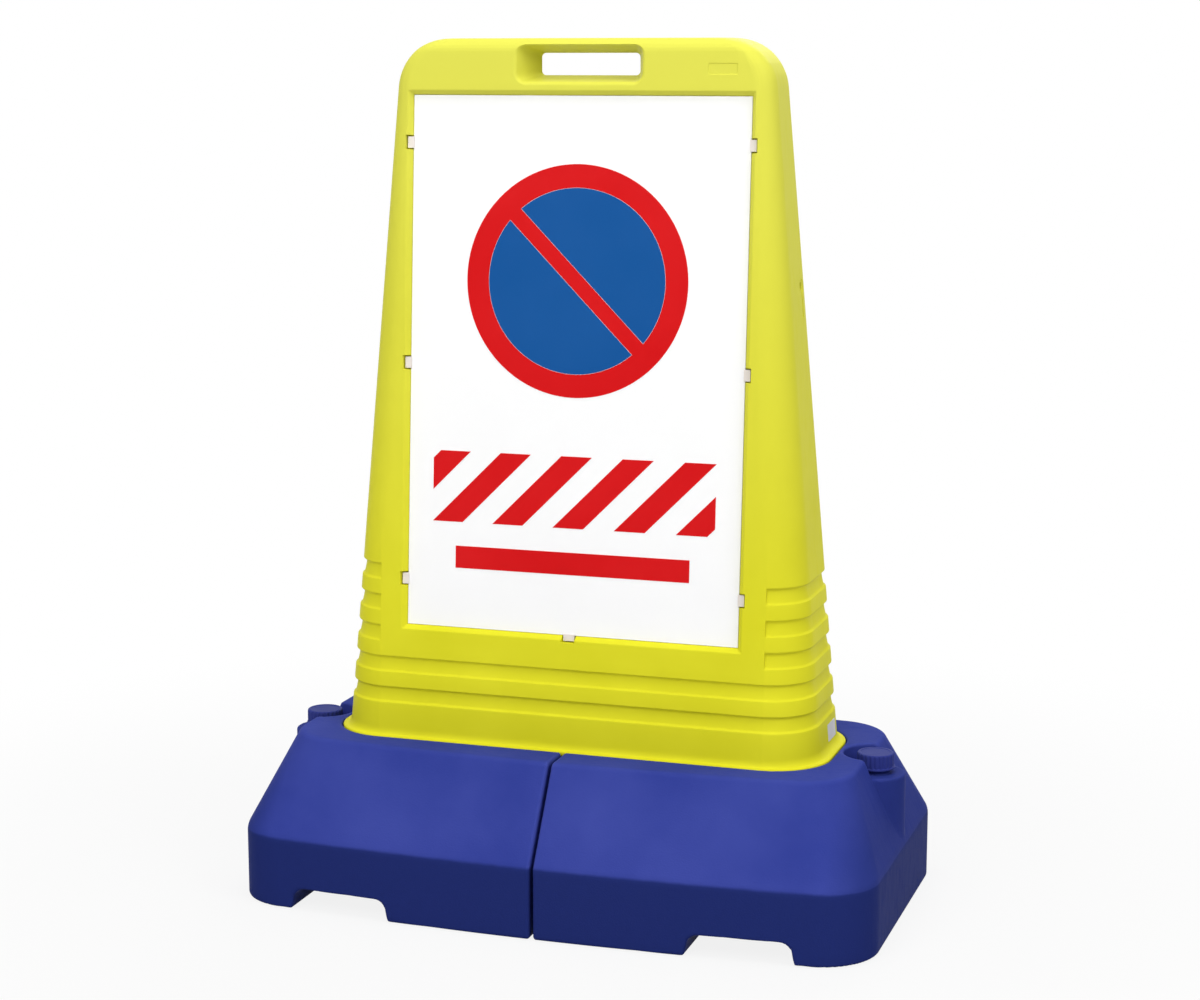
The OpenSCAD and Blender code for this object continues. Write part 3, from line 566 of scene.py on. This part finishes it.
def round_and(a, b, r):
    """Where two shapes meet, with an edge of radius r between their faces."""
    return np.minimum(np.maximum(a, b), -r) + np.hypot(np.maximum(a + r, 0), np.maximum(b + r, 0))


def soft_or(a, b, k):
    """Two shapes joined, with a fillet of about the size k."""
    h = np.maximum(k - np.abs(a - b), 0) / k
    return np.minimum(a, b) - h * h * k / 4


def bowed(x, y, hx, hy, r):
    """Signed distance to a rounded rectangle whose long sides bow outwards in the middle."""
    flat = np.abs(y) + BOW * np.minimum(np.abs(x) / (hx - r), 1.0) ** 2
    return round_box(x, flat, hx, hy, r)


def tank_field(x, y, z):
    """Signed distance to the right tank, nearly."""
    upright = bowed(x, y, *BASE)
    s = (z - CREASE_Z) / (DECK_Z - CREASE_Z)
    slope_x, slope_y = ((a - b) / (DECK_Z - CREASE_Z) for a, b in zip(BASE[:2], DECK[:2]))
    slant = bowed(x, y, *(a + (b - a) * s for a, b in zip(BASE, DECK)))
    end = np.clip((np.abs(x) - END_X) / END_BLEND, 0, 1)
    end = end * np.clip(1 - (np.abs(y) - END_Y) / END_BLEND, 0, 1)
    slope = slope_y + (slope_x - slope_y) * end
    slant = slant / np.sqrt(1 + slope ** 2)
    body = round_and(upright, slant, CREASE_R)
    body = round_and(body, z - DECK_Z, DECK_R)
    body = round_and(body, -z, BOTTOM_R)
    body = round_and(body, SPLIT_X - x, SPLIT_R)
    # the boss under the neck, with its pocket
    from_axis = np.hypot(x - CAP_X, y - CAP_Y)
    boss = round_and(from_axis - BOSS_R, z - POCKET_Z, BOSS_RIM_R)
    body = soft_or(body, round_and(boss, BOSS_FOOT - z, BOSS_FOOT_R), BOSS_SIDE_R)
    pocket = round_and(from_axis - POCKET_R, POCKET_Z - z, POCKET_FLOOR_R)
    body = round_and(body, -pocket, POCKET_RIM_R)
    # the stepped seat for the tower's lip and foot, with the slide ridges
    for outline, floor_z, radius in ((LIP, LIP_SEAT_Z, LIP_SEAT_R), (FOOT, FOOT_SEAT_Z, FOOT_SEAT_R)):
        seat = np.maximum(round_box(x, y, *(v + SEAT_GAP for v in outline)), floor_z - z)
        body = round_and(body, -seat, radius)
    ridge = np.abs(z - RIDGE_Z) - RIDGE_HALF
    for value, (low, high) in ((x, RIDGE_X), (np.abs(y), RIDGE_Y)):
        ridge = np.maximum(ridge, np.maximum(low - value, value - high))
    body = soft_or(body, ridge, RIDGE_R)
    # the channel below and the bore of the neck
    wall = np.abs(x - CHANNEL_X) - (CHANNEL_HALF + CHANNEL_FLARE * (1 - z / CHANNEL_TOP))
    channel = round_and(wall, z - CHANNEL_TOP, CHANNEL_ROOF_R)
    body = round_and(body, -channel, CHANNEL_RIM_R)
    bore = np.maximum(from_axis - BORE_R, BORE_FOOT - z)
    return np.maximum(body, -bore)


def lines(stops, fine):
    """Grid lines through the stops, with the spacing given for each stretch."""
    out = [stops[0]]
    for a, b, step in zip(stops[:-1], stops[1:], fine):
        n = max(1, int(round((b - a) / step)))
        out += [a + (b - a) * i / n for i in range(1, n + 1)]
    return np.array(out)


def skin(field, xs, ys, zs):
    """Quads on the zero surface of a field, one point in each grid cell that it crosses."""
    f = field(*np.meshgrid(xs, ys, zs, indexing="ij"))
    cells = tuple(n - 1 for n in f.shape)
    total, count = np.zeros(cells + (3,)), np.zeros(cells)
    grid = (xs, ys, zs)

    def neighbour(idx, axis, du, dv):
        """The cell du and dv below the grid edges idx in the two other axes, and whether it exists."""
        cell = idx.copy()
        u, v = [k for k in range(3) if k != axis]
        cell[:, u] -= du
        cell[:, v] -= dv
        return cell, np.all((cell >= 0) & (cell < np.array(cells)), 1)

    # where the surface crosses the grid's edges, gathered for each cell
    crossings = []
    for axis in range(3):
        a, b = [slice(None)] * 3, [slice(None)] * 3
        a[axis], b[axis] = slice(None, -1), slice(1, None)
        fa, fb = f[tuple(a)], f[tuple(b)]
        hit = (fa < 0) != (fb < 0)
        idx = np.argwhere(hit)
        t = fa[hit] / (fa[hit] - fb[hit])
        p = np.stack([grid[k][idx[:, k]] for k in range(3)], 1).astype(float)
        p[:, axis] += t * np.diff(grid[axis])[idx[:, axis]]
        crossings.append((axis, idx, fa[hit] < 0))
        for du, dv in ((0, 0), (0, 1), (1, 0), (1, 1)):
            cell, ok = neighbour(idx, axis, du, dv)
            np.add.at(total, tuple(cell[ok].T), p[ok])
            np.add.at(count, tuple(cell[ok].T), 1)
    used = count > 0
    index = -np.ones(count.shape, int)
    index[used] = np.arange(used.sum())
    points = total[used] / count[used][:, None]
    # a quad round each crossed edge, through the points of its four cells
    quads = []
    for axis, idx, leaving in crossings:
        ring = []
        for du, dv in ((0, 0), (1, 0), (1, 1), (0, 1)):
            cell, ok = neighbour(idx, axis, du, dv)
            cell = np.where(ok[:, None], cell, 0)
            ring.append(np.where(ok, index[tuple(cell.T)], -1))
        ring = np.stack(ring, 1)
        good = np.all(ring >= 0, 1)
        ring, leaving = ring[good], leaving[good]
        keep = leaving if axis != 1 else ~leaving
        ring[~keep] = ring[~keep][:, ::-1]
        quads.append(ring)
    # the points drawn onto the surface, down the field's gradient
    h, least, longest = 0.05, 0.3, 0.8
    for _ in range(3):
        f0 = field(*points.T)
        g = np.stack([(field(*(points + d).T) - field(*(points - d).T)) / (2 * h) for d in h * np.eye(3)], 1)
        size = np.maximum((g * g).sum(1), least)
        points = points - g * np.clip(f0 / size, -longest, longest)[:, None]
    return points, [tuple(int(i) for i in q) for q in np.concatenate(quads)]


def build_tanks():
    """Both tanks from one skin, with finer grid lines at the edges; the left one is turned half round."""
    xs = lines((-0.6, 7.8, 22, 172, 192, 286, 322, 388), (1.2, 3.0, 6.0, 2.6, 6.0, 2.8, 2.6))
    half = lines((0.0, 50, 82, 110, 140, 222), (2.6, 3.6, 2.6, 3.6, 3.6))
    ys = np.concatenate([-half[:0:-1], half]) + 0.013     # off the middle, so that no line lies in a face
    zs = lines((-3.0, 6, 20, 31, 70, 94, 118, 128, 160, 176, 190),
               (2.2, 3.0, 2.0, 5.0, 1.7, 5.0, 2.6, 4.0, 2.0, 1.5))
    points, quads = skin(tank_field, xs, ys, zs)
    points = np.clip(points, (SPLIT_X, -BASE[1], 0.0), (BASE[0], BASE[1], DECK_Z))
    for side, turn in (("right", 1), ("left", -1)):
        p = points * np.array([turn, turn, 1])
        obj = mesh_piece(f"{side}_tank_shell", p, quads, f"{side}_tank", blue,
                         smooth_angle=60)
        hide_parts(f"{side}_tank")
        neck_and_cap(side, turn)


# ---------------------------------------------------------------- neck, cap, thread
NECK_R, NECK_BORE, NECK_FOOT = 16.0, 13.0, 150.0
CAP_BORE, CAP_WALL, CAP_RIM, CAP_TOP_T = 17.8, 21.5, 22.5, 2.7     # radii, and the thickness of its top
RIBS = 24
PITCH, THREAD_H, THREAD_STEPS, THREAD_FADE = 5.0, 1.3, 48, 12      # steps in a turn, and to the full height
NECK_THREAD, CAP_THREAD = (1.94, CAP_FOOT + 1.75), (1.1, CAP_FOOT + 4.25)      # turns, and height of the start


def lathe(profile, n, flute=None, joined=False):
    """Rings turned about the cap's axis; flute gives how much each point's radius follows the ribs."""
    angle = 2 * math.pi * np.arange(n) / n
    rib = np.clip((0.5 + 0.5 * np.cos(RIBS * angle)) * 1.5, 0, 1)
    rings = []
    for k, (r, z) in enumerate(profile):
        radius = r - (flute[k] if flute else 0.0) * (1 - rib)
        rings.append(np.stack([radius * np.cos(angle), radius * np.sin(angle), np.full(n, z)], 1))
    return np.concatenate(rings), ring_faces(len(rings), n, joined)


def thread(r, way, turns, z0):
    """A thread ridge on a wall of radius r, outwards for way 1 and inwards for way -1."""
    n = int(turns * THREAD_STEPS)
    pts, faces = [], []
    for i in range(n + 1):
        a = 2 * math.pi * i / THREAD_STEPS
        grow = min(1.0, (i + 0.6) / THREAD_FADE, (n - i + 0.6) / THREAD_FADE)
        root, crest = r - way * 0.6, r + way * THREAD_H * grow
        shoulder = crest - way * 0.15
        z = z0 + PITCH * i / THREAD_STEPS
        for radius, dz in ((root, -1.15), (shoulder, -0.62), (crest, -0.4), (crest, 0.4), (shoulder, 0.62),
                           (root, 1.15)):
            pts.append((radius * math.cos(a), radius * math.sin(a), z + dz))
    return pts, ring_faces(n + 1, 6)


def place(points, turn):
    """Points about the cap's axis, moved onto the right (1) or the left (-1) tank."""
    return np.asarray(points, float) * np.array([turn, turn, 1]) + np.array([turn * CAP_X, turn * CAP_Y, 0])


def neck_and_cap(side, turn):
    """A tank's filler neck and its screw cap, each with its thread ridge."""
    tank = f"{side}_tank"
    profile = ((NECK_BORE, NECK_FOOT), (NECK_BORE, NECK_TOP - 0.5), (13.5, NECK_TOP), (15.3, NECK_TOP),
               (NECK_R, NECK_TOP - 0.7), (NECK_R, POCKET_Z + 1.6), (16.6, POCKET_Z + 0.4),
               (18.0, POCKET_Z - 0.4), (18.5, NECK_FOOT))
    pts, faces = lathe(profile, 72, joined=True)
    mesh_piece(f"{side}_neck", place(pts, turn), faces, tank, blue)
    pts, faces = thread(NECK_R, 1, *NECK_THREAD)
    mesh_piece(f"{side}_neck_thread", place(pts, turn), faces, tank, blue)

    inner = CAP_TOP - CAP_TOP_T
    # radius, height and how much the ribs show there
    profile = ((0.4, inner, 0), (16.8, inner, 0), (CAP_BORE, inner - 1.0, 0), (CAP_BORE, CAP_FOOT + 0.6, 0),
               (18.4, CAP_FOOT, 0), (21.9, CAP_FOOT, 0), (CAP_RIM, CAP_FOOT + 0.5, 0),
               (CAP_RIM, CAP_FOOT + 1.8, 0), (22.0, CAP_FOOT + 2.3, 0), (CAP_WALL, CAP_FOOT + 2.5, 0),
               (CAP_WALL, CAP_FOOT + 3.2, 1.0), (CAP_WALL, CAP_TOP - 2.6, 1.0), (21.35, CAP_TOP - 1.6, 0.8),
               (20.9, CAP_TOP - 0.8, 0.35), (20.2, CAP_TOP - 0.25, 0), (19.2, CAP_TOP, 0), (17.6, CAP_TOP, 0),
               (17.2, CAP_TOP - 0.15, 0), (16.9, CAP_TOP - 0.45, 0), (16.4, CAP_TOP - 0.5, 0),
               (0.4, CAP_TOP - 0.5, 0))
    pts, faces = lathe([p[:2] for p in profile], 192, [p[2] for p in profile])
    cap = mesh_piece(f"{side}_cap_shell", place(pts, turn), faces, f"{side}_cap", cap_blue)
    weighted(cap)
    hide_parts(f"{side}_cap")
    pts, faces = thread(CAP_BORE, -1, *CAP_THREAD)
    mesh_piece(f"{side}_cap_thread", place(pts, turn), faces, f"{side}_cap", cap_blue)


build_tower()
build_tanks()

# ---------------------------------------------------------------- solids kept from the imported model
# End of the node's name, material and width of the rounding of its edges
KEPT = (("plate", white_sheet, 0.5), ("ring_film", red_film, 0), ("disc_film", blue_film, 0),
        ("stripe_film", red_film, 0), ("bar_film", red_film, 0), ("clips", clip_white, 0.5),
        ("clip", clip_white, 0.5), ("label", label_paper, 0), ("gasket", rubber, 0.3))
for name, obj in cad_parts.items():
    for ending, material, width in KEPT:
        if name.endswith(ending):
            obj.data.materials.clear()
            obj.data.materials.append(material)
            if width:
                mod = obj.modifiers.new("edges", "BEVEL")
                mod.width, mod.segments = width * MM, 3
                mod.limit_method, mod.angle_limit = "ANGLE", math.radians(40)


# ---------------------------------------------------------------- stage
WHITE = (1.0, 1.0, 1.0, 1.0)
FLOOR_GREY, FLOOR_SHOWN = 0.62, 0.86     # how light the floor is, and how much of it shows as plain white
FADE = (0.45, 1.35)                      # how far out that share starts to rise, and where it is full
AMBIENT = 0.33


def seen_rays(nodes, links):
    """One for the rays that show the stage itself: to the camera, in a gloss or through a clear piece."""
    path = nodes.new("ShaderNodeLightPath")
    result = path.outputs["Is Camera Ray"]
    for key in ("Is Glossy Ray", "Is Transmission Ray"):
        result = math_node(nodes, links, "MAXIMUM", result, path.outputs[key])
    return result


def mix_shader(nodes, links, amount, first, second, target):
    """Links two shaders, blended by amount, to the target."""
    node = nodes.new("ShaderNodeMixShader")
    for value, socket in zip((amount, first, second), node.inputs):
        links.new(value, socket)
    links.new(node.outputs[0], target)


def floor_material():
    """Lit plainly, and shown to the camera as a pale backdrop that keeps the object's shadow."""
    mat = bpy.data.materials.new("pale_floor")
    mat.use_nodes = True
    nodes, links = mat.node_tree.nodes, mat.node_tree.links
    bsdf = nodes["Principled BSDF"]
    bsdf.inputs["Base Color"].default_value = (FLOOR_GREY, FLOOR_GREY, FLOOR_GREY, 1.0)
    bsdf.inputs["Roughness"].default_value = 0.9
    bsdf.inputs["Specular IOR Level"].default_value = 0.1
    emit = nodes.new("ShaderNodeEmission")
    emit.inputs["Color"].default_value = WHITE
    emit.inputs["Strength"].default_value = 1.0
    coord = nodes.new("ShaderNodeTexCoord")
    far = nodes.new("ShaderNodeVectorMath")
    far.operation = "LENGTH"
    links.new(coord.outputs["Object"], far.inputs[0])
    fade = nodes.new("ShaderNodeMapRange")
    fade.interpolation_type = "SMOOTHSTEP"
    for key, value in zip(("From Min", "From Max", "To Min", "To Max"), (*FADE, FLOOR_SHOWN, 1.0)):
        fade.inputs[key].default_value = value
    links.new(far.outputs["Value"], fade.inputs["Value"])
    amount = math_node(nodes, links, "MULTIPLY", seen_rays(nodes, links), fade.outputs["Result"])
    mix_shader(nodes, links, amount, bsdf.outputs[0], emit.outputs[0],
               nodes["Material Output"].inputs["Surface"])
    return mat


floor_mesh = bpy.data.meshes.new("floor")
bm = bmesh.new()
bmesh.ops.create_grid(bm, x_segments=1, y_segments=1, size=30)
bm.to_mesh(floor_mesh)
bm.free()
floor = bpy.data.objects.new("floor", floor_mesh)
bpy.context.scene.collection.objects.link(floor)
floor.location = (0, 0, -0.001)
floor_mesh.materials.append(floor_material())

world = bpy.data.worlds.new("studio")
bpy.context.scene.world = world
world.use_nodes = True
world_nodes, world_links = world.node_tree.nodes, world.node_tree.links
ambient, seen = world_nodes["Background"], world_nodes.new("ShaderNodeBackground")
for background, strength in ((ambient, AMBIENT), (seen, 1.0)):
    background.inputs["Color"].default_value = WHITE
    background.inputs["Strength"].default_value = strength
mix_shader(world_nodes, world_links, seen_rays(world_nodes, world_links), ambient.outputs[0], seen.outputs[0],
           world_nodes["World Output"].inputs["Surface"])


def softbox(name, location, aim, size, power):
    """A rectangular area lamp of size metres and power watts, turned towards its aim."""
    data = bpy.data.lights.new(name, "AREA")
    data.shape, data.size, data.size_y, data.energy = "RECTANGLE", size[0], size[1], power
    lamp = bpy.data.objects.new(name, data)
    bpy.context.scene.collection.objects.link(lamp)
    lamp.location = location
    lamp.rotation_euler = (Vector(aim) - Vector(location)).to_track_quat("-Z", "Y").to_euler()


softbox("overhead", (0.0, -0.5, 4.6), (0, 0, 0.4), (3.6, 2.6), 84)
softbox("front_high", (-0.3, -2.75, 2.45), (0, 0, 0.7), (2.4, 1.3), 52)
softbox("right_high", (2.6, -1.2, 2.6), (0, 0, 0.6), (1.4, 1.6), 36)
softbox("back_high", (0.4, 2.7, 2.5), (0, 0, 0.6), (2.0, 1.3), 30)

# The camera stands where the photograph was taken from, found from the object's outline in it
CAMERA_AT, CAMERA_DOWN, CAMERA_TURN, LENS, SENSOR = (0.9057, -2.7302, 0.9741), 10.01, 18.15, 74.57, 36
camera = bpy.data.objects.new("camera", bpy.data.cameras.new("camera"))
bpy.context.scene.collection.objects.link(camera)
camera.location = CAMERA_AT
camera.rotation_euler = (math.radians(90 - CAMERA_DOWN), 0, math.radians(CAMERA_TURN))
camera.data.sensor_width, camera.data.lens = SENSOR, LENS
bpy.context.scene.camera = camera
bpy.context.scene.view_settings.view_transform = "Standard"
